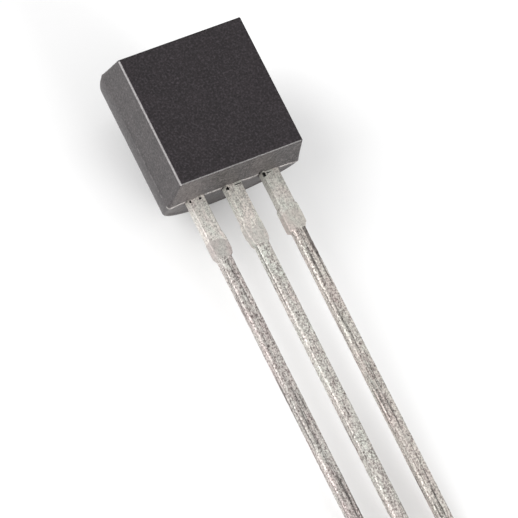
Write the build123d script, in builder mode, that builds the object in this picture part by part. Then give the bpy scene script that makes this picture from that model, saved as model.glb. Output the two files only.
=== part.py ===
from build123d import *
import math
import os

# ---------------------------------------------------------------- dimensions
# All in millimetres. The transistor is described in its own lead frame plane:
#   x  across the three leads          (row +X)
#   u  along the leads, up the body    (leads run towards -u)
#   n  out of the flat face            (n = 0 is the front face of the lead frame,
#                                       which is the parting plane of the moulding)
# That plane is then tilted so that the part lies at rest on the rounded back
# of its moulding and on the tips of its leads.

# moulded body
BODY_W = 4.50          # width at the parting line
BODY_H = 4.63          # height at the parting line
FLAT_D = 1.30          # parting plane to the flat face
BACK_D = 2.35          # parting plane to the back of the round side
DRAFT_X = 0.17         # how much each side wall leans in, up to the flat
DRAFT_LO = 0.18        # the same for the lead end
DRAFT_HI = 0.17        # the same for the closed end
BACK_LO = 0.35         # lean of the lead end over the whole round side
BACK_HI = 0.33         # lean of the closed end over the whole round side
CORNER_R = 0.09        # upright corners, and the ends of the round side
FLAT_EDGE_R = 0.05     # rim of the flat face
FLASH = 0.008          # witness line where the two mould halves meet
FLASH_T = 0.05

# leads
PITCH = 1.27
LEAD_T = 0.38          # thickness of the frame strip
LEAD_L = 14.30         # lead length below the body
NECK_HW = 0.265        # half width between the body and the dam bar stubs
LEG_W = 0.45           # width below the dam bar stubs
LEG_R = 0.07           # rounded edges of the leg
STUB_END = -1.96       # where the cut-off dam bar's stubs end and the leg begins
TIP_CH = 0.04          # sheared tip

# frame inside the moulding
NOTCH_LO, NOTCH_HI, NOTCH_HW = 0.55, 0.80, 0.19   # locking notches in each lead
POST = (-1.75, -0.85, 1.90, 3.05)                 # emitter bonding post: x0 x1 u0 u1
FLAG = (-0.42, 0.42, 0.98, 1.40)                  # base bonding flag
PAD = (-0.45, 1.68, 1.72, 3.60)                   # collector die pad
PAD_STEP = (0.20, 3.22)                           # the pad's cut upper corner: x, u

# chip and wires
DIE = 0.50
DIE_T = 0.20
DIE_AT = (0.52, 2.55)
GLUE = 0.58
GLUE_T = 0.03
WIRE_D = 0.05
BALL_D = 0.12
BALL_T = 0.03
LOOP_H = 0.34          # wire loop above the chip
WIRE_R = 0.12          # bends of the wire

# ------------------------------------------------------------- rest position
# The lowest points are the rounded lower edge of the back and the tips of the
# leads; the tilt puts both on z = 0.
_len = math.hypot(BACK_D, BACK_LO)
EDGE_N = -BACK_D + CORNER_R
EDGE_U = (CORNER_R - (BACK_LO / _len) * EDGE_N) / (BACK_D / _len)
TIP_U, TIP_N = -LEAD_L + TIP_CH, -LEAD_T
_a, _b = EDGE_U - TIP_U, TIP_N - EDGE_N
TILT = math.asin(CORNER_R / math.hypot(_a, _b)) + math.atan2(_b, _a)
S, C = math.sin(TILT), math.cos(TILT)
REST_Z = -(TIP_U * S + TIP_N * C)
Y_LOW = -LEAD_L * C + TIP_CH * S
Y_HIGH = (BODY_H + FLASH) * C + FLASH_T / 2 * S
REST_Y = -(Y_LOW + Y_HIGH) / 2

BASE = Vector(0, REST_Y, REST_Z)     # middle lead's exit, in the frame plane
AX_U = Vector(0, C, S)
AX_N = Vector(0, -S, C)
FRAME = Plane(origin=BASE, x_dir=(1, 0, 0), z_dir=AX_N)      # local x, u
SECTION = Plane(origin=BASE, x_dir=(1, 0, 0), z_dir=AX_U)    # local x, -n
SIDE = Plane(origin=BASE, x_dir=AX_U, z_dir=(1, 0, 0))       # local u, n
UP = Axis(BASE, AX_U)
OUT = Axis(BASE, AX_N)
print("flat mount", BASE + AX_U * ((DRAFT_LO + BODY_H - DRAFT_HI) / 2) + AX_N * FLAT_D, AX_N)
print("lead tips", BASE - AX_U * LEAD_L - AX_N * (LEAD_T / 2), -AX_U)
print(f"tilt {math.degrees(TILT):.3f} deg, base at y {REST_Y:.4f} z {REST_Z:.4f}")

# -------------------------------------------------------------------- leads
def neck(x, inner_u):
    """Right and left sides of a lead from the stubs up to inner_u."""
    right = [
        (x + NECK_HW, NOTCH_LO), (x + NOTCH_HW, NOTCH_LO),
        (x + NOTCH_HW, NOTCH_HI), (x + NECK_HW, NOTCH_HI), (x + NECK_HW, inner_u),
    ]
    left = [
        (x - NECK_HW, inner_u), (x - NECK_HW, NOTCH_HI), (x - NOTCH_HW, NOTCH_HI),
        (x - NOTCH_HW, NOTCH_LO), (x - NECK_HW, NOTCH_LO),
    ]
    return right, left


# emitter lead, ending in a bonding post beside the pad
X1 = -PITCH
r1, l1 = neck(X1, POST[2])
with BuildPart() as lead_emitter:
    with BuildSketch(FRAME):
        with BuildLine():
            Polyline(
                (X1 + LEG_W / 2, STUB_END), (X1 + 0.270, -1.91), (X1 + 0.312, -1.76),
                (X1 + 0.312, -1.30), (X1 + NECK_HW, -1.18),
                *r1,
                (POST[1], POST[2]), (POST[1], POST[3]), (POST[0], POST[3]), (POST[0], POST[2]),
                *l1,
                (X1 - NECK_HW, -1.26), (X1 - 0.285, -1.38), (X1 - 0.285, -1.82),
                (X1 - LEG_W / 2, STUB_END),
                close=True,
            )
        make_face()
    extrude(amount=-LEAD_T)
    with BuildSketch(SECTION.offset(-LEAD_L)):
        with Locations((X1, LEAD_T / 2)):
            RectangleRounded(LEG_W, LEAD_T, LEG_R)
    extrude(amount=LEAD_L + STUB_END)
    chamfer(lead_emitter.faces().sort_by(UP)[0].edges(), TIP_CH)
lead_emitter.part.label = "lead_emitter"

# base lead, ending in a short flag under the pad
r2, l2 = neck(0, FLAG[2])
with BuildPart() as lead_base:
    with BuildSketch(FRAME):
        with BuildLine():
            Polyline(
                (LEG_W / 2, STUB_END), (0.260, -1.90), (0.283, -1.77), (0.283, -1.33),
                (NECK_HW, -1.23),
                *r2,
                (FLAG[1], FLAG[2]), (FLAG[1], FLAG[3]), (FLAG[0], FLAG[3]), (FLAG[0], FLAG[2]),
                *l2,
                (-NECK_HW, -1.15), (-0.312, -1.23), (-0.312, -1.63), (-0.275, -1.71),
                (-0.265, -1.90), (-LEG_W / 2, STUB_END),
                close=True,
            )
        make_face()
    extrude(amount=-LEAD_T)
    with BuildSketch(SECTION.offset(-LEAD_L)):
        with Locations((0, LEAD_T / 2)):
            RectangleRounded(LEG_W, LEAD_T, LEG_R)
    extrude(amount=LEAD_L + STUB_END)
    chamfer(lead_base.faces().sort_by(UP)[0].edges(), TIP_CH)
lead_base.part.label = "lead_base"

# collector lead, which widens into the pad that carries the chip
X3 = PITCH
r3, l3 = neck(X3, PAD[2])
with BuildPart() as lead_collector:
    with BuildSketch(FRAME):
        with BuildLine():
            Polyline(
                (X3 + LEG_W / 2, STUB_END), (X3 + 0.255, -1.87), (X3 + 0.315, -1.81),
                (X3 + 0.315, -1.20), (X3 + NECK_HW, -1.12),
                *r3,
                (PAD[1], PAD[2]), (PAD[1], PAD[3]), (PAD_STEP[0], PAD[3]), PAD_STEP,
                (PAD[0], PAD_STEP[1]), (PAD[0], PAD[2]),
                *l3,
                (X3 - NECK_HW, -1.13), (X3 - 0.315, -1.21), (X3 - 0.315, -1.91),
                (X3 - LEG_W / 2, STUB_END),
                close=True,
            )
        make_face()
    extrude(amount=-LEAD_T)
    with BuildSketch(SECTION.offset(-LEAD_L)):
        with Locations((X3, LEAD_T / 2)):
            RectangleRounded(LEG_W, LEAD_T, LEG_R)
    extrude(amount=LEAD_L + STUB_END)
    chamfer(lead_collector.faces().sort_by(UP)[0].edges(), TIP_CH)
lead_collector.part.label = "lead_collector"

# --------------------------------------------------------------------- chip
with BuildPart() as die_attach:
    with BuildSketch(FRAME):
        with Locations(DIE_AT):
            RectangleRounded(GLUE, GLUE, 0.05)
    extrude(amount=GLUE_T)
die_attach.part.label = "die_attach"

with BuildPart() as die:
    with BuildSketch(FRAME.offset(GLUE_T)):
        with Locations(DIE_AT):
            Rectangle(DIE, DIE)
    extrude(amount=DIE_T)
die.part.label = "die"

# --------------------------------------------------------------- bond wires
DIE_TOP = GLUE_T + DIE_T
LOOP_N = DIE_TOP + LOOP_H


def at(x, u, n):
    """A point of the lead frame's own coordinates, in the row frame."""
    return BASE + Vector(1, 0, 0) * x + AX_U * u + AX_N * n


EM_PAD, EM_END = (0.42, 2.66), (-1.28, 2.48)
with BuildPart() as bond_wire_emitter:
    with BuildLine():
        FilletPolyline(
            at(*EM_PAD, DIE_TOP), at(*EM_PAD, LOOP_N), at(*EM_END, LOOP_N - 0.10),
            at(*EM_END, 0), radius=WIRE_R,
        )
    with BuildSketch(FRAME.offset(DIE_TOP)):
        with Locations(EM_PAD):
            Circle(WIRE_D / 2)
    sweep()
    with BuildSketch(FRAME.offset(DIE_TOP)):
        with Locations(EM_PAD):
            Circle(BALL_D / 2)
    extrude(amount=BALL_T)
bond_wire_emitter.part.label = "bond_wire_emitter"

BA_PAD, BA_END = (0.58, 2.42), (0.02, 1.20)
with BuildPart() as bond_wire_base:
    with BuildLine():
        FilletPolyline(
            at(*BA_PAD, DIE_TOP), at(*BA_PAD, LOOP_N), at(*BA_END, LOOP_N - 0.10),
            at(*BA_END, 0), radius=WIRE_R,
        )
    with BuildSketch(FRAME.offset(DIE_TOP)):
        with Locations(BA_PAD):
            Circle(WIRE_D / 2)
    sweep()
    with BuildSketch(FRAME.offset(DIE_TOP)):
        with Locations(BA_PAD):
            Circle(BALL_D / 2)
    extrude(amount=BALL_T)
bond_wire_base.part.label = "bond_wire_base"

# --------------------------------------------------------------------- body
# One moulding: the flat half above the parting plane, the half round below it,
# moulded solid around the frame, the chip and the wires.
with BuildPart() as flat_half:
    with BuildSketch(FRAME):
        with Locations((0, BODY_H / 2)):
            Rectangle(BODY_W, BODY_H)
    with BuildSketch(FRAME.offset(FLAT_D)):
        with Locations((0, (DRAFT_LO + BODY_H - DRAFT_HI) / 2)):
            Rectangle(BODY_W - 2 * DRAFT_X, BODY_H - DRAFT_LO - DRAFT_HI)
    loft(ruled=True)
    fillet(flat_half.edges().filter_by(lambda e: abs((e % 0.5).dot(AX_N)) > 0.9), CORNER_R)
    fillet(flat_half.faces().sort_by(OUT)[-1].edges(), FLAT_EDGE_R)

with BuildPart() as body:
    with BuildSketch(SECTION):
        with BuildLine():
            ThreePointArc((-BODY_W / 2, 0), (0, BACK_D), (BODY_W / 2, 0))
            Line((BODY_W / 2, 0), (-BODY_W / 2, 0))
        make_face()
    extrude(amount=BODY_H)
    with BuildSketch(SIDE):
        with BuildLine():
            Polyline(
                (0, 0), (BODY_H, 0), (BODY_H - BACK_HI, -BACK_D),
                (BACK_LO, -BACK_D), close=True,
            )
        make_face()
    extrude(amount=BODY_W, both=True, mode=Mode.INTERSECT)
    fillet(body.edges().filter_by(GeomType.ELLIPSE), CORNER_R)
    add(flat_half.part)
    with BuildSketch(FRAME.offset(-FLASH_T / 2)):
        with Locations((0, BODY_H / 2)):
            RectangleRounded(BODY_W + 2 * FLASH, BODY_H + 2 * FLASH, CORNER_R + FLASH)
    extrude(amount=FLASH_T)
    for inner in (lead_emitter, lead_base, lead_collector, die_attach, die,
                  bond_wire_emitter, bond_wire_base):
        add(inner.part, mode=Mode.SUBTRACT)
body.part.label = "body"

os.makedirs("parts", exist_ok=True)
export_step(body.part, "parts/body.step")
export_step(lead_emitter.part, "parts/lead_emitter.step")
export_step(lead_base.part, "parts/lead_base.step")
export_step(lead_collector.part, "parts/lead_collector.step")
export_step(die.part, "parts/die.step")
export_step(die_attach.part, "parts/die_attach.step")
export_step(bond_wire_emitter.part, "parts/bond_wire_emitter.step")
export_step(bond_wire_base.part, "parts/bond_wire_base.step")
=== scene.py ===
import math
import bpy
import bmesh
from mathutils import Matrix, Vector, noise


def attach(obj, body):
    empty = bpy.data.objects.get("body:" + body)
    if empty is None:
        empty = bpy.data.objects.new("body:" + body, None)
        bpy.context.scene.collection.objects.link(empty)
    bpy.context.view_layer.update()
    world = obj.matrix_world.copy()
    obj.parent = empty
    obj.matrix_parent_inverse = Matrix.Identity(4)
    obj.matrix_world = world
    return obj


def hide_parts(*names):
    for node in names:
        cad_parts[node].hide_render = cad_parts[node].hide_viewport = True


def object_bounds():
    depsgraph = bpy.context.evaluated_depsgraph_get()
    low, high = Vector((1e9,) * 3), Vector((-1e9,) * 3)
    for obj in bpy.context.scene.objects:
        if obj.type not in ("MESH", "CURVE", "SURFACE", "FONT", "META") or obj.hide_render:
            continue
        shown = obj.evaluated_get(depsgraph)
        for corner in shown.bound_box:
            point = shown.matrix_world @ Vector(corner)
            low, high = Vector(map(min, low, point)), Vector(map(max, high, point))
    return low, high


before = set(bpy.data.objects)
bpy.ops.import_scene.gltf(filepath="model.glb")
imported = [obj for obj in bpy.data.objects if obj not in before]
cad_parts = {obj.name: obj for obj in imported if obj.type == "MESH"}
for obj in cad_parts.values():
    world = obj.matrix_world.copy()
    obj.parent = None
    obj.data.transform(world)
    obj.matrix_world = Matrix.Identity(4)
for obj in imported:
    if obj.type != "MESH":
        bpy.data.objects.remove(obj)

cad_lo, cad_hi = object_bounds()
cad_lo, cad_hi = list(cad_lo), list(cad_hi)
MM = 0.001

# ---------------------------------------------------------------- dimensions
# the part's own numbers, in millimetres, as in the construction
BODY_W, BODY_H, FLAT_D, BACK_D = 4.50, 4.63, 1.30, 2.35
DRAFT_X, DRAFT_LO, DRAFT_HI, BACK_LO, BACK_HI = 0.17, 0.18, 0.17, 0.35, 0.33
CORNER_R, RIM_R, FLASH, FLASH_T = 0.09, 0.05, 0.008, 0.05
PITCH, LEAD_T, LEAD_L, LEG_W = 1.27, 0.38, 14.30, 0.45
TIP_CH = 0.04

# the tilt at rest: the rounded lower edge of the back and the lead tips touch
_len = math.hypot(BACK_D, BACK_LO)
_en = -BACK_D + CORNER_R
_eu = (CORNER_R - (BACK_LO / _len) * _en) / (BACK_D / _len)
_tu, _tn = -LEAD_L + TIP_CH, -LEAD_T
TILT = math.asin(CORNER_R / math.hypot(_eu - _tu, _tn - _en)) + math.atan2(_tn - _en, _eu - _tu)
S, C = math.sin(TILT), math.cos(TILT)
BASE_Z = -(_tu * S + _tn * C)
BASE_Y = (LEAD_L * C - TIP_CH * S - (BODY_H + FLASH) * C - FLASH_T / 2 * S) / 2
AX_X, AX_U, AX_N = Vector((1, 0, 0)), Vector((0, C, S)), Vector((0, -S, C))


def place(x, u, n):
    """x across, u along the leads, n out of the flat -> the row frame, metres."""
    return (x * MM, (BASE_Y + u * C - n * S) * MM, (BASE_Z + u * S + n * C) * MM)


def smooth(a, b, t):
    t = max(0.0, min(1.0, (t - a) / (b - a)))
    return t * t * (3 - 2 * t)


def nz(x, y, z):
    return noise.noise(Vector((x, y, z)))


# -------------------------------------------------------------------- camera
CAM_RIGHT = (0.8630166, -0.2524563, -0.4375708)
CAM_DOWN = (-0.331545, 0.3704821, -0.8676525)
CAM_AHEAD = (0.3811565, 0.8938729, 0.2360315)
CAM_AT = (-47.79182, -111.24195, -31.76443)       # millimetres from the middle lead's exit
cam_data = bpy.data.cameras.new("camera")
cam = bpy.data.objects.new("camera", cam_data)
bpy.context.scene.collection.objects.link(cam)


def turn(x, deep, u):
    """A direction in the part's own axes: across, into the flat, up the body."""
    return AX_X * x - AX_N * deep + AX_U * u


right = turn(*CAM_RIGHT)
up = -turn(*CAM_DOWN)
back = -turn(*CAM_AHEAD)
m = Matrix((right, up, back)).transposed().to_4x4()
m.translation = (turn(*CAM_AT) + Vector((0, BASE_Y, BASE_Z))) * MM
cam.matrix_world = m
cam_data.sensor_width = 36.0
cam_data.lens = 293.356
cam_data.clip_start, cam_data.clip_end = 0.01, 20.0
bpy.context.scene.camera = cam

scene = bpy.context.scene
scene.view_settings.view_transform = "Standard"
scene.view_settings.look = "None"


# ----------------------------------------------------------------- materials
def material(name):
    mat = bpy.data.materials.new(name)
    mat.use_nodes = True
    nt = mat.node_tree
    return mat, nt, nt.nodes["Principled BSDF"]


def node(nt, kind, **values):
    nd = nt.nodes.new(kind)
    for k, v in values.items():
        if k in nd.inputs:
            nd.inputs[k].default_value = v
        else:
            setattr(nd, k, v)
    return nd


def coords(nt, size):
    """Object coordinates turned to the part's tilt and divided by size, in metres."""
    tc = node(nt, "ShaderNodeTexCoord")
    mp = node(nt, "ShaderNodeMapping", vector_type="TEXTURE")
    mp.inputs["Rotation"].default_value = (TILT, 0, 0)
    mp.inputs["Scale"].default_value = size
    nt.links.new(tc.outputs["Object"], mp.inputs["Vector"])
    return mp.outputs["Vector"]


def tex(nt, size, detail=2.0, rough=0.5, distortion=0.0):
    t = node(nt, "ShaderNodeTexNoise", Scale=1.0, Detail=detail, Roughness=rough, Distortion=distortion)
    nt.links.new(coords(nt, size), t.inputs["Vector"])
    return t.outputs["Fac"]


def ramp(nt, fac, stops):
    r = node(nt, "ShaderNodeValToRGB")
    e = r.color_ramp.elements
    while len(e) < len(stops):
        e.new(0.5)
    for el, (pos, col) in zip(e, stops):
        el.position = pos
        el.color = (*col, 1.0) if len(col) == 3 else col
    nt.links.new(fac, r.inputs["Fac"])
    return r.outputs["Color"]


def grey(v):
    return (v, v, v)


def mix(nt, fac, a, b, blend="MIX"):
    mx = node(nt, "ShaderNodeMix", data_type="RGBA", blend_type=blend)
    if isinstance(fac, float):
        mx.inputs[0].default_value = fac
    else:
        nt.links.new(fac, mx.inputs[0])
    for k, v in ((6, a), (7, b)):
        if isinstance(v, tuple):
            mx.inputs[k].default_value = (*v, 1.0)
        else:
            nt.links.new(v, mx.inputs[k])
    return mx.outputs[2]


def bump(nt, height, strength, distance, normal=None):
    b = node(nt, "ShaderNodeBump", Strength=strength, Distance=distance)
    nt.links.new(height, b.inputs["Height"])
    if normal is not None:
        nt.links.new(normal, b.inputs["Normal"])
    return b.outputs["Normal"]


def epoxy(name, pit, dark, light, speck, rough_lo, rough_hi, grain, specular, patch=0.55, grit=0.050, across=None):
    mat, nt, p = material(name)
    f = 0.001
    cloud = tex(nt, (patch * f, patch * f, patch * f), 3.0, 0.6)
    fine = tex(nt, (grit * f, grit * f, grit * f), 3.0, 0.7)
    tone = ramp(nt, cloud, [(0.3, grey(0.0)), (0.7, grey(1.0))])
    # painted light and shade: the ramp given by the caller lightens and darkens the tone across the face to stand in
    # for uneven sheen
    if across:                      # a slow change of tone from the left side to the right
        xyz = node(nt, "ShaderNodeSeparateXYZ")
        nt.links.new(coords(nt, (BODY_W * f, f, f)), xyz.inputs["Vector"])
        shift = node(nt, "ShaderNodeMath", operation="ADD")
        nt.links.new(xyz.outputs["X"], shift.inputs[0])
        shift.inputs[1].default_value = 0.5
        slow = ramp(nt, shift.outputs[0], [((x + BODY_W / 2) / BODY_W, grey(v)) for x, v in across])
        tone = mix(nt, 0.62, tone, slow)
    col = mix(nt, tone, dark, light)
    col = mix(nt, ramp(nt, fine, [(0.50, grey(0.0)), (0.76, grey(1.0))]), col, speck)
    col = mix(nt, ramp(nt, fine, [(0.28, grey(1.0)), (0.46, grey(0.0))]), col, pit)
    nt.links.new(col, p.inputs["Base Color"])
    nt.links.new(ramp(nt, cloud, [(0.25, grey(rough_lo)), (0.75, grey(rough_hi))]), p.inputs["Roughness"])
    p.inputs["Specular IOR Level"].default_value = specular
    p.inputs["IOR"].default_value = 1.5
    b = bump(nt, fine, grain, 0.012 * f)
    b = bump(nt, tex(nt, (0.18 * f, 0.18 * f, 0.18 * f), 2.0), 0.25, 0.010 * f, b)
    nt.links.new(b, p.inputs["Normal"])
    return mat


# epoxy of the flat face: its base colour is set darker than the walls' epoxy as painted shade, on top of its real
# rougher finish
MAT_FLAT = epoxy("epoxy_flat", (0.0035, 0.0024, 0.0030), (0.0125, 0.0096, 0.0112), (0.0175, 0.0134, 0.0156), (0.050, 0.042, 0.048), 0.58, 0.68, 0.95, 0.33, 0.60, 0.066)
MAT_SIDE = epoxy("epoxy_side", (0.008, 0.0060, 0.0068), (0.024, 0.0198, 0.0208), (0.047, 0.0400, 0.0410), (0.105, 0.094, 0.095), 0.40, 0.50, 0.80, 0.5, 0.50, 0.065)
# end-face epoxy: its left-to-right ramp is painted light and shade, lighter at the left and darker in the middle, for
# the end face's uneven sheen
MAT_END = epoxy("epoxy_end", (0.003, 0.0022, 0.0024), (0.0055, 0.0042, 0.0042), (0.088, 0.0765, 0.0745), (0.150, 0.136, 0.134), 0.42, 0.54, 0.90, 0.40, 0.34, 0.060,
    ((-2.2, 0.95), (-1.45, 1.0), (-0.95, 0.30), (-0.25, 0.10), (0.35, 0.16), (0.75, 0.66), (1.15, 0.22), (2.2, 0.20)))
# much lighter epoxy for the rounded front-left edge: painted highlight of the key light on that rim
MAT_RIM_PAINTED_HIGHLIGHT = epoxy("epoxy_rim_painted_highlight", (0.080, 0.072, 0.074), (0.145, 0.133, 0.135), (0.250, 0.234, 0.234), (0.340, 0.320, 0.320), 0.24, 0.36, 0.40, 0.9, 0.30)
# lighter epoxy for the rounded front-bottom edge and for specks along the parting line on the walls: painted highlight,
# the specks sitting on the real flash
MAT_EDGE_PAINTED_HIGHLIGHT = epoxy("epoxy_edge_painted_highlight", (0.018, 0.015, 0.015), (0.030, 0.026, 0.026), (0.085, 0.077, 0.077), (0.200, 0.186, 0.186), 0.30, 0.42, 0.50, 0.7, 0.40)
# bright epoxy for the parting-line flash on the lead end: painted highlight on the real ridge
MAT_LINE_PAINTED_HIGHLIGHT = epoxy("epoxy_line_painted_highlight", (0.060, 0.054, 0.051), (0.190, 0.176, 0.165), (0.370, 0.345, 0.328), (0.520, 0.490, 0.470), 0.24, 0.36, 0.60, 0.9, 0.22)
# near-black epoxy: painted shade in the deepest pits of the lead end, and the dark patches at the lead roots
MAT_NEAR_BLACK = epoxy("epoxy_near_black", (0.0010, 0.0010, 0.0010), (0.0030, 0.0026, 0.0026), (0.0050, 0.0044, 0.0044), (0.012, 0.011, 0.011), 0.80, 0.95, 0.60, 0.10)


def tin(name, lo, mid, hi, rough_lo, rough_hi, streak, mottle_bump, tint=(1.0, 1.0, 1.0), grit=0.058):
    mat, nt, p = material(name)
    f = 0.001
    streaks = tex(nt, (0.075 * f, 2.20 * f, 0.075 * f), 4.0, 0.62, 0.3)
    mottle = tex(nt, (grit * f, 1.3 * grit * f, grit * f), 4.0, 0.70, 0.6)
    patch = tex(nt, (0.35 * f, 0.9 * f, 0.35 * f), 3.0, 0.6)
    base = ramp(nt, mottle, [(0.36, lo), (0.47, mid), (0.60, hi)])
    long = ramp(nt, streaks, [(0.38, grey(1.0 - streak)), (0.48, grey(1.0)), (0.70, grey(1.0))])
    col = mix(nt, 1.0, base, long, "MULTIPLY")
    warm = ramp(nt, patch, [(0.35, (0.95, 1.0, 0.97)), (0.65, (1.0, 0.965, 0.955))])
    col = mix(nt, 1.0, col, warm, "MULTIPLY")
    col = mix(nt, 1.0, col, tint, "MULTIPLY")
    nt.links.new(col, p.inputs["Base Color"])
    p.inputs["Metallic"].default_value = 0.9
    nt.links.new(ramp(nt, mottle, [(0.3, grey(rough_hi)), (0.7, grey(rough_lo))]), p.inputs["Roughness"])
    b = bump(nt, mottle, mottle_bump, 0.020 * f)
    b = bump(nt, streaks, mottle_bump * 0.7, 0.030 * f, b)
    nt.links.new(b, p.inputs["Normal"])
    return mat


def tin_set(tag, tint, neck):
    """Leg, neck and stub skins of one lead, and the near-black of the dark patches at its root."""
    return [
        tin("tin_leg_" + tag, (0.17, 0.142, 0.142), (0.55, 0.515, 0.497), (0.94, 0.92, 0.89), 0.38, 0.58, 0.66, 0.95, tint, 0.048),
        tin("tin_neck_" + tag, (0.34, 0.32, 0.305), (0.70, 0.68, 0.65), (0.95, 0.935, 0.895), 0.46, 0.62, 0.14, 0.80, neck, 0.042),
        tin("tin_stub_" + tag, (0.46, 0.442, 0.430), (0.61, 0.590, 0.572), (0.73, 0.708, 0.685), 0.58, 0.72, 0.08, 0.35, tint, 0.050),
        MAT_NEAR_BLACK,
    ]


SETS = {
    "left_lead": tin_set("a", (0.85, 0.81, 0.81), (0.93, 0.905, 0.90)),
    "middle_lead": tin_set("b", (0.93, 0.92, 0.905), (0.97, 0.955, 0.94)),
    "right_lead": tin_set("c", (0.93, 0.89, 0.87), (0.88, 0.86, 0.85)),
}
# dark patches on the leads' front faces at the root: x, u, radii
ROOT_DARK_PATCHES = {
    "left_lead": [(-0.222, -0.014, 0.040, 0.046), (0.090, -0.012, 0.045, 0.040)],
    "middle_lead": [(-0.225, -0.030, 0.052, 0.052), (0.120, -0.002, 0.120, 0.020)],
    "right_lead": [(-0.245, -0.020, 0.042, 0.075), (-0.090, 0.002, 0.110, 0.018)],
}


def small_metal(name, a, b_, rough, metallic, size, strength):
    mat, nt, p = material(name)
    f = 0.001
    t = tex(nt, (size * f, size * f, size * f), 3.0, 0.6)
    nt.links.new(mix(nt, t, a, b_), p.inputs["Base Color"])
    p.inputs["Metallic"].default_value = metallic
    nt.links.new(ramp(nt, t, [(0.3, grey(rough)), (0.7, grey(min(1.0, rough + 0.2)))]), p.inputs["Roughness"])
    nt.links.new(bump(nt, t, strength, 0.006 * f), p.inputs["Normal"])
    return mat


MAT_DIE = small_metal("silicon_chip", (0.05, 0.055, 0.07), (0.11, 0.12, 0.16), 0.12, 0.3, 0.09, 0.15)
MAT_GLUE = small_metal("die_solder", (0.35, 0.35, 0.36), (0.52, 0.52, 0.52), 0.40, 0.9, 0.04, 0.6)
MAT_GOLD = small_metal("gold_wire", (0.80, 0.52, 0.16), (0.95, 0.68, 0.28), 0.18, 1.0, 0.03, 0.2)


# -------------------------------------------------------------------- meshes
def make(name, verts, faces, mats, index=None):
    me = bpy.data.meshes.new(name)
    me.from_pydata(verts, [], faces)
    for mt in mats:
        me.materials.append(mt)
    if index:
        me.polygons.foreach_set("material_index", index)
    bm = bmesh.new()
    bm.from_mesh(me)
    bmesh.ops.remove_doubles(bm, verts=bm.verts, dist=2e-8)
    bmesh.ops.dissolve_degenerate(bm, edges=bm.edges, dist=1e-9)
    bmesh.ops.recalc_face_normals(bm, faces=bm.faces)
    for fc in bm.faces:
        fc.smooth = True
    bm.to_mesh(me)
    bm.free()
    ob = bpy.data.objects.new(name, me)
    scene.collection.objects.link(ob)
    return ob


# ---- body: a D-shaped outline swept up between the two leaning end faces
def flash_height(n, along):
    """Height of the witness line, uneven along its run."""
    a = abs(n)
    if a > 0.034:
        return 0.0
    h = 0.45 + 0.55 * smooth(-0.35, 0.45, nz(along * 3.1, 4.0, 7.0)) + 0.25 * nz(along * 14.0, 1.0, 2.0)
    return 0.9 * FLASH * max(0.15, min(1.0, h)) * (1 - smooth(0.008, 0.034, a))


def front_path():
    """Left wall, flat, right wall: (x, n, normal x, normal n, edge radius)."""
    wl = math.hypot(DRAFT_X, FLAT_D)
    wx, wn = DRAFT_X / wl, FLAT_D / wl            # up the left wall
    nx, nn = -wn, wx                              # its outward normal
    cx_, cn = -BODY_W / 2 + DRAFT_X, FLAT_D       # sharp corner
    turn = math.acos(max(-1, min(1, nn)))         # from the wall's normal to the flat's
    tl = RIM_R * math.tan(turn / 2)
    pts = []
    total = wl - tl
    for d in [0.0, 0.0085, 0.017, 0.0255, 0.034]:
        pts.append((d, 0))
    k = 26
    for i in range(1, k + 1):
        pts.append((0.034 + (total - 0.034) * i / k, 0))
    out = []
    for d, _ in pts:
        x, n = -BODY_W / 2 + wx * d, wn * d
        r = CORNER_R + (RIM_R - CORNER_R) * smooth(0.35, 1.30, n)
        # both halves share one outward direction at the parting line
        out.append((x, n, nx, nn, r) if d > 0 else (-BODY_W / 2, 0.0, -1.0, 0.0, CORNER_R))
    ax, an = cx_ - wx * tl - nx * RIM_R, cn - wn * tl - nn * RIM_R    # arc centre
    for i in range(1, 7):
        a0 = math.atan2(nn, nx)
        a = a0 - turn * i / 7
        out.append((ax + RIM_R * math.cos(a), an + RIM_R * math.sin(a), math.cos(a), math.sin(a), RIM_R))
    x0 = ax
    steps = 84
    for i in range(steps // 2 + 1):
        out.append((x0 * (1 - i / (steps / 2)), FLAT_D, 0.0, 1.0, RIM_R))
    left = out[:-1]
    mirror = [(-x, n, -a, b, r) for x, n, a, b, r in reversed(left)]
    return out + mirror


FRONT = front_path()
RIM_LO = FLAT_D - 0.048
K = len(FRONT)
R_BACK = (BACK_D ** 2 + (BODY_W / 2) ** 2) / (2 * BACK_D)
N_C = -BACK_D + R_BACK


def back_path():
    a0 = math.atan2(0 - N_C, -BODY_W / 2)            # at the left parting point
    if a0 < 0:
        a0 += 2 * math.pi
    a1 = 2 * math.pi + math.atan2(0 - N_C, BODY_W / 2)
    small = [0.0, 0.0085 / R_BACK, 0.017 / R_BACK, 0.0255 / R_BACK, 0.034 / R_BACK]
    k = K - 10
    mids = [small[-1] + (a1 - a0 - 2 * small[-1]) * (i + 1) / (k + 1) for i in range(k)]
    angles = [a0 + s for s in small] + [a0 + s for s in mids] + [a1 - s for s in reversed(small)]
    pts = [(R_BACK * math.cos(a), N_C + R_BACK * math.sin(a), math.cos(a), math.sin(a), CORNER_R) for a in angles]
    return [(-BODY_W / 2, 0.0, -1.0, 0.0, CORNER_R)] + pts[1:-1] + [(BODY_W / 2, 0.0, 1.0, 0.0, CORNER_R)]


BACK = back_path()


def end_lo(n):
    return DRAFT_LO * n / FLAT_D if n >= 0 else BACK_LO * (-n) / BACK_D


def end_hi(n):
    return BODY_H - (DRAFT_HI * n / FLAT_D if n >= 0 else BACK_HI * (-n) / BACK_D)


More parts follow.
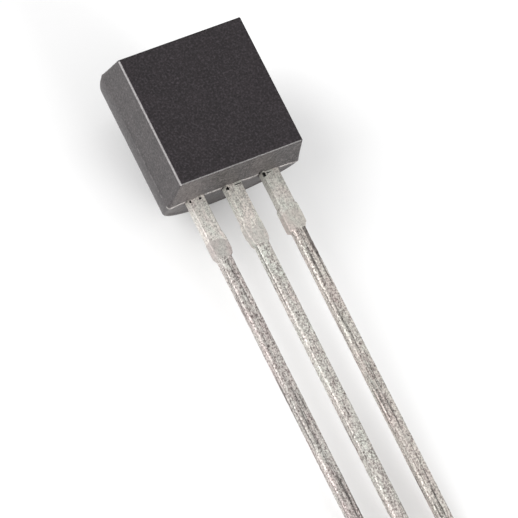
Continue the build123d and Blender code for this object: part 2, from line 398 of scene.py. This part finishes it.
# small voids in the moulding where the leads leave it: x, n, radii, depth
PITS = [
    (-PITCH - 0.275, -0.040, 0.062, 0.085, 0.26), (-PITCH + 0.110, 0.030, 0.060, 0.048, 0.22),
    (-0.275, -0.045, 0.070, 0.095, 0.28), (0.100, 0.022, 0.170, 0.026, 0.16),
    (PITCH - 0.310, -0.050, 0.066, 0.120, 0.28), (PITCH - 0.030, 0.020, 0.200, 0.026, 0.16),
    (PITCH + 0.290, -0.12, 0.030, 0.060, 0.08), (-PITCH + 0.290, -0.15, 0.030, 0.060, 0.08),
]


def lip(x, n):
    """Sunk line of the moulding round each lead."""
    d = 0.0
    for x0 in (-PITCH, 0.0, PITCH):
        dx, dn = abs(x - x0) - 0.265, abs(n + LEAD_T / 2) - LEAD_T / 2
        q = math.hypot(max(dx, 0), max(dn, 0)) + min(max(dx, dn), 0)
        d = max(d, 0.030 * math.exp(-(max(q, 0) / 0.035) ** 2))
    return d


def cap_point(x, n, low):
    if low:
        dz = flash_height(n, x)
        sink = 0.0
        for px, pn, rx, rn, pd in PITS:
            sink = max(sink, pd * math.exp(-(((x - px) / rx) ** 2 + ((n - pn) / rn) ** 2)))
        sink = max(sink, lip(x, n))
        wave = 0.024 * (1 + nz(x * 1.25 + 0.4, n * 1.2, 5.0)) + 0.006 * (1 + nz(x * 5.0, n * 5.0, 2.0))
        edge = min(1.0, max(0.0, (BODY_W / 2 - 0.15 - abs(x)) / 0.3)) * smooth(-BACK_D, -BACK_D + 0.4, n) * (1 - smooth(FLAT_D - 0.35, FLAT_D - 0.06, n))
        return end_lo(n) - dz + sink + wave * edge
    return end_hi(n) + flash_height(n, x + 30.0) - 0.004 * (1 + nz(x * 2.0, n * 2.0, 15.0))


verts, faces, index = [], [], []


def add(p):
    verts.append(place(*p))
    return len(verts) - 1


CAP_T = [0.0, 0.006, 0.012, 0.018, 0.024, 0.034, 0.05, 0.07]
CAP_T += [0.07 + 0.93 * i / 36 for i in range(1, 37)]
ARC = 6
RINGS = 84


def ring(path, low, phi):
    """One ring of the rounded end edge: phi 0 on the end face, 90 degrees on the wall."""
    ids = []
    s, c = math.sin(phi), math.cos(phi)
    for x, n, a, b, r in path:
        px, pn = x - a * r * (1 - s), n - b * r * (1 - s)
        h = flash_height(n, x if abs(n) < 0.04 else 0.0)
        if low:
            u = end_lo(n) + r * (1 - c) - h * c
        else:
            u = end_hi(n) - r * (1 - c) + h * c
        ids.append(add((px + a * h * s, u, pn + b * h * s)))
    return ids


def build_side(path):
    """Rings from the low end's cap edge to the high end's, for one half of the outline."""
    rows = [ring(path, True, math.pi / 2 * i / ARC) for i in range(ARC + 1)]
    for j in range(1, RINGS):
        t = j / RINGS
        ids = []
        for x, n, a, b, r in path:
            u0, u1 = end_lo(n) + r, end_hi(n) - r
            u = u0 + (u1 - u0) * t
            h = flash_height(n, u * 1.0 + (20 if x > 0 else 0)) if abs(n) < 0.04 else 0.0
            h *= smooth(0.02, 0.30, nz(u * 7.0, 6.0 if x > 0 else 2.0, 0.5)) * (1 - smooth(1.6, 2.8, u))
            w = 0.0
            if n >= FLAT_D - 1e-6:
                w = -0.0015 * (1 + nz(x * 0.9, u * 0.9, 3.0))
            elif abs(n) > 0.04:
                w = -0.0020 * (1 + nz(x * 1.1 + 9, u * 0.8, n * 1.1))
            w *= smooth(0, 0.06, t) * smooth(0, 0.06, 1 - t)
            ids.append(add((x + a * (h + w), u, n + b * (h + w))))
        rows.append(ids)
    rows += [ring(path, False, math.pi / 2 * i / ARC) for i in range(ARC, -1, -1)]
    for j_row, (r0, r1) in enumerate(zip(rows, rows[1:])):
        for i in range(len(path) - 1):
            faces.append((r0[i], r0[i + 1], r1[i + 1], r1[i]))
            both = path[i][1] >= FLAT_D - 1e-6 and path[i + 1][1] >= FLAT_D - 1e-6
            at_low, at_high = j_row < ARC, j_row >= len(rows) - 1 - ARC
            arc = RIM_LO <= path[i][1] and not both
            # only the left front rim, the one turned to the key light, gets the painted-highlight rim epoxy
            if arc and path[i][0] < 0 and not at_high:
                index.append(2)
            # rounded front-bottom rim rows take the painted-highlight edge epoxy
            elif both and at_low:
                index.append(4 if 1 <= j_row < ARC - 1 else 5 if j_row == 0 else 1)
            # the flash at the low rim takes the painted-highlight line epoxy
            elif at_low and abs(path[i][1]) < 0.03:
                index.append(6)
            # light specks along the parting line on the walls: painted highlight on the real flash
            elif j_row < 52 and -0.02 < path[i][1] < 0.03 and nz(j_row * 0.42, 3.0 if path[i][0] > 0 else 9.0, 0.5) > 0.10:
                index.append(4)
            else:
                index.append(1 if both or arc else 5 if j_row < 2 else 0)
    return rows[0], rows[-1]


def inset(path):
    return [(x - a * r, n - b * r) for x, n, a, b, r in path]


def build_cap(path, edge_ids, low):
    edge = inset(path)
    x0, x1 = edge[0][0], edge[-1][0]
    chord = [(x0 + (x1 - x0) * i / (K - 1), 0.0) for i in range(K)]
    rows, middle = [], []
    for t in CAP_T[:-1]:
        middle.append([(a[0] + (b[0] - a[0]) * t, b[1] * t) for a, b in zip(chord, edge)])
        ids = []
        for (cx0, cn0), (ex, en) in zip(chord, edge):
            x, n = cx0 + (ex - cx0) * t, cn0 + (en - cn0) * t
            blend = smooth(0.90, 1.0, t)
            u = cap_point(x, n, low)
            plain = (end_lo(n) - flash_height(n, x)) if low else (end_hi(n) + flash_height(n, x))
            ids.append(add((x, u * (1 - blend) + plain * blend, n)))
        rows.append(ids)
    rows.append(edge_ids)
    for k, (r0, r1) in enumerate(zip(rows, rows[1:])):
        for i in range(K - 1):
            faces.append((r0[i], r0[i + 1], r1[i + 1], r1[i]))
            x, n = middle[k][i]
            # faces deep in the larger pits get the near-black: painted shade inside the pits
            deep = max(((1.0 if pd > 0.15 else 0.0) * math.exp(-(((x - px) / rx) ** 2 + ((n - pn) / rn) ** 2)) for px, pn, rx, rn, pd in PITS), default=0.0) if low else 0.0
            # a thin band along the parting line on the low end takes the line epoxy: painted highlight on the flash
            index.append(3 if deep > 0.36 else 6 if low and -0.012 < n < 0.046 and (x > 0.1 or nz(x * 2.4, 8.0, 1.0) > -0.30) else 5 if low else 0)


for path in (FRONT, BACK):
    lo_ids, hi_ids = build_side(path)
    build_cap(path, lo_ids, True)
    build_cap(path, hi_ids, False)
body = make("moulded_body", verts, faces, [MAT_SIDE, MAT_FLAT, MAT_RIM_PAINTED_HIGHLIGHT, MAT_NEAR_BLACK, MAT_EDGE_PAINTED_HIGHLIGHT, MAT_END, MAT_LINE_PAINTED_HIGHLIGHT], index)
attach(body, "root")
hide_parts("body")


# ---- leads: a strip whose two edges follow the stamping, rolled and tinned
def edges_at(table, u):
    for (u0, a0, b0), (u1, a1, b1) in zip(table, table[1:]):
        if u0 <= u <= u1:
            t = 0.0 if u1 == u0 else (u - u0) / (u1 - u0)
            return a0 + (a1 - a0) * t, b0 + (b1 - b0) * t
    return table[-1][1:]


def lead(name, node_name, x0, table, top, seed):
    HALF = LEG_W / 2
    us = [-LEAD_L, -LEAD_L + 0.013, -LEAD_L + 0.027, -LEAD_L + TIP_CH]
    u = -LEAD_L + 0.08
    while u < -2.12:
        us.append(u)
        u += 0.034
    while u < 0.10:
        us.append(u)
        u += 0.016
    us += [0.2, 0.3, 0.4, 0.5]
    for uu, _, _ in table:
        if uu > -2.3:
            us.append(uu)
    us += [top - 0.02, top - 0.01]
    us = sorted(set(round(q, 5) for q in us if -LEAD_L <= q <= top))
    verts, faces, index = [], [], []
    SIDE_N, CORNER_N = 11, 5
    local = []
    rings = []
    zone = []
    for u in us:
        xl, xr = edges_at(table, u)
        cx_, hw = (xl + xr) / 2, (xr - xl) / 2
        ht = LEAD_T / 2
        r = 0.075 if u < -1.96 else 0.075 - 0.050 * smooth(-1.96, -1.88, u)
        cut = 0.0
        if u < -LEAD_L + TIP_CH:
            cut = -LEAD_L + TIP_CH - u
        r = max(0.02, r - cut * 0.5)
        hw_, ht_ = hw - cut, ht - cut
        pts = []
        for q, (sx, sn) in enumerate(((1, 1), (-1, 1), (-1, -1), (1, -1))):
            ccx, ccn = sx * (hw_ - r), sn * (ht_ - r)
            a0 = q * math.pi / 2
            for k in range(CORNER_N):
                a = a0 + math.pi / 2 * k / (CORNER_N - 1)
                pts.append((ccx + r * math.cos(a), ccn + r * math.sin(a), math.cos(a), math.sin(a), 1.0))
            nsx, nsn = ((-1, 1), (-1, -1), (1, -1), (1, 1))[q]
            ex, en = nsx * (hw_ - r), nsn * (ht_ - r)
            a = a0 + math.pi / 2
            bx, bn = ccx + r * math.cos(a), ccn + r * math.sin(a)
            fx, fn = ex + r * math.cos(a), en + r * math.sin(a)
            for k in range(1, SIDE_N):
                t = k / SIDE_N
                pts.append((bx + (fx - bx) * t, bn + (fn - bn) * t, math.cos(a), math.sin(a), 0.0))
        leg = 1 - smooth(-2.02, -1.90, u)
        out = 1 - smooth(-0.05, 0.05, u)
        ids = []
        for x, n, a, b, corner in pts:
            streak = nz(x * 9 + seed, n * 9, u * 0.55 + seed)
            mott = nz(x * 13, n * 13 + seed, u * 7.0)
            fine = nz(x * 30, n * 30, u * 24 + seed)
            d = leg * (0.0075 * (1 + streak) + 0.0035 * (1 + mott) + 0.0018 * (1 + fine) + 0.0030 * corner * (1 + mott))
            d += (1 - leg) * (0.0020 * (1 + streak) + 0.0018 * (1 + nz(x * 5, n * 5, u * 4 + seed)) + 0.0008 * (1 + fine))
            d *= out
            ids.append(len(verts))
            local.append((cx_ + x - x0, n))
            verts.append(place(cx_ + x - a * d, u, n - b * d - LEAD_T / 2))
        rings.append(ids)
        zone.append(u)
    N = len(rings[0])
    for (r0, z0), (r1, z1) in zip(zip(rings, zone), zip(rings[1:], zone[1:])):
        for i in range(N):
            j = (i + 1) % N
            faces.append((r0[i], r0[j], r1[j], r1[i]))
            px, pn = [(local[r0[i]][k] + local[r0[j]][k]) / 2 for k in (0, 1)]
            pu = (z0 + z1) / 2
            dark = pn > 0.10 and any(((px - sx) / rx) ** 2 + ((pu - su) / ru) ** 2 < 1 for sx, su, rx, ru in ROOT_DARK_PATCHES[name])
            index.append(3 if dark else 0 if z1 < -1.93 + 0.06 * nz(px * 7, seed, pn * 7) else 2 if z1 < -1.36 + 0.30 * nz(px * 5, pu * 3, seed) else 1)
    for ids, uu, sgn in ((rings[0], us[0], -1), (rings[-1], us[-1], 1)):
        xl, xr = edges_at(table, uu)
        cc = place((xl + xr) / 2, uu, -LEAD_T / 2)
        prev = ids
        for q in (0.66, 0.33):
            cur = []
            for v in prev if q == 0.66 else ids:
                p = verts[ids[prev.index(v)]] if q == 0.66 else verts[v]
                w = [cc[k] + (p[k] - cc[k]) * q for k in range(3)]
                if sgn < 0:
                    w[1] += 0.000006 * (1 + nz(p[0] * 9000, p[2] * 9000, seed))
                cur.append(len(verts))
                verts.append(tuple(w))
            for i in range(N):
                j = (i + 1) % N
                faces.append((prev[i], prev[j], cur[j], cur[i]))
                index.append(0 if sgn < 0 else 1)
            prev = cur
        mid = len(verts)
        verts.append(cc)
        for i in range(N):
            faces.append((prev[i], prev[(i + 1) % N], mid))
            index.append(0 if sgn < 0 else 1)
    ob = make(name, verts, faces, SETS[name], index)
    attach(ob, "root")
    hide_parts(node_name)
    return ob


NHW, H2 = 0.265, LEG_W / 2
E = 0.012


def inner(x, first, steps):
    """Locking notches and what the lead ends in: (u, left, right)."""
    rows = [
        (0.55 - E, x - NHW, x + NHW), (0.55, x - 0.19, x + 0.19),
        (0.80, x - 0.19, x + 0.19), (0.80 + E, x - NHW, x + NHW),
        (first - E, x - NHW, x + NHW),
    ]
    return rows + steps


X1, X3 = -PITCH, PITCH
lead("left_lead", "lead_emitter", X1, [
    (-LEAD_L, X1 - H2, X1 + H2), (-1.98, X1 - H2, X1 + H2), (-1.96, X1 - 0.227, X1 + 0.227),
    (-1.91, X1 - 0.242, X1 + 0.268), (-1.82, X1 - 0.281, X1 + 0.298), (-1.72, X1 - 0.282, X1 + 0.311),
    (-1.56, X1 - 0.280, X1 + 0.312), (-1.41, X1 - 0.281, X1 + 0.311), (-1.32, X1 - 0.271, X1 + 0.306),
    (-1.24, X1 - NHW, X1 + 0.288), (-1.16, X1 - NHW, X1 + NHW),
] + inner(X1, 1.90, [(1.90, -1.75, -0.85), (3.05, -1.75, -0.85)]), 3.05, 3.7)
lead("middle_lead", "lead_base", 0.0, [
    (-LEAD_L, -H2, H2), (-1.98, -H2, H2), (-1.96, -0.227, 0.227), (-1.90, -0.259, 0.252), (-1.82, -0.265, 0.273),
    (-1.72, -0.271, 0.281), (-1.64, -0.305, 0.282), (-1.46, -0.312, 0.282), (-1.30, -0.311, 0.281),
    (-1.22, -0.301, 0.269), (-1.15, -NHW, NHW),
] + inner(0.0, 0.98, [(0.98, -0.42, 0.42), (1.40, -0.42, 0.42)]), 1.40, 11.3)
lead("right_lead", "lead_collector", X3, [
    (-LEAD_L, X3 - H2, X3 + H2), (-1.98, X3 - H2, X3 + H2), (-1.96, X3 - 0.228, X3 + 0.227),
    (-1.94, X3 - 0.280, X3 + 0.232), (-1.91, X3 - 0.311, X3 + 0.242), (-1.87, X3 - 0.315, X3 + 0.254),
    (-1.81, X3 - 0.315, X3 + 0.310), (-1.57, X3 - 0.315, X3 + 0.314), (-1.21, X3 - 0.313, X3 + 0.313),
    (-1.17, X3 - 0.295, X3 + 0.299), (-1.12, X3 - NHW, X3 + NHW),
] + inner(X3, 1.72, [(1.72, -0.45, 1.68), (3.22, -0.45, 1.68), (3.22 + E, 0.20, 1.68), (3.60, 0.20, 1.68)]), 3.60, 23.1)

# ---- sealed inner pieces keep their construction meshes
for nd, mt in (("die", MAT_DIE), ("die_attach", MAT_GLUE), ("bond_wire_emitter", MAT_GOLD), ("bond_wire_base", MAT_GOLD)):
    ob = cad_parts[nd]
    if isinstance(ob, str):
        ob = bpy.data.objects[ob]
    if not ob.material_slots:
        ob.data.materials.append(mt)
    for sl in ob.material_slots:
        sl.material = mt

# ------------------------------------------------------------- floor, lights
bpy.ops.mesh.primitive_plane_add(size=6.0, location=(0, 0, 0))
floor = bpy.context.object
floor.name = "floor"
fm, nt, p = material("floor_pale")
nt.links.new(ramp(nt, tex(nt, (0.02, 0.02, 0.02), 2.0), [(0.3, (0.90, 0.90, 0.90)), (0.7, (0.92, 0.92, 0.92))]), p.inputs["Base Color"])
p.inputs["Roughness"].default_value = 0.9
p.inputs["Specular IOR Level"].default_value = 0.1
floor.data.materials.append(fm)

world = bpy.data.worlds.new("world")
scene.world = world
world.use_nodes = True
world.node_tree.nodes["Background"].inputs["Color"].default_value = (1, 1, 1, 1)
world.node_tree.nodes["Background"].inputs["Strength"].default_value = 0.70


def softbox(name, direction, distance, size, power, aim=(0, 0.004, 0.002)):
    ld = bpy.data.lights.new(name, "AREA")
    ld.shape = "SQUARE"
    ld.size = size
    ld.energy = power
    ob = bpy.data.objects.new(name, ld)
    d = Vector(direction).normalized()
    ob.location = Vector(aim) + d * distance
    ob.rotation_mode = "QUATERNION"
    ob.rotation_quaternion = d.to_track_quat("Z", "Y")
    ob.visible_camera = False
    scene.collection.objects.link(ob)
    return ob


softbox("key", (-0.80, 0.24, 0.55), 0.9, 0.90, 7.9)
softbox("front", (0.26, -0.92, 0.30), 0.9, 0.55, 7.0)
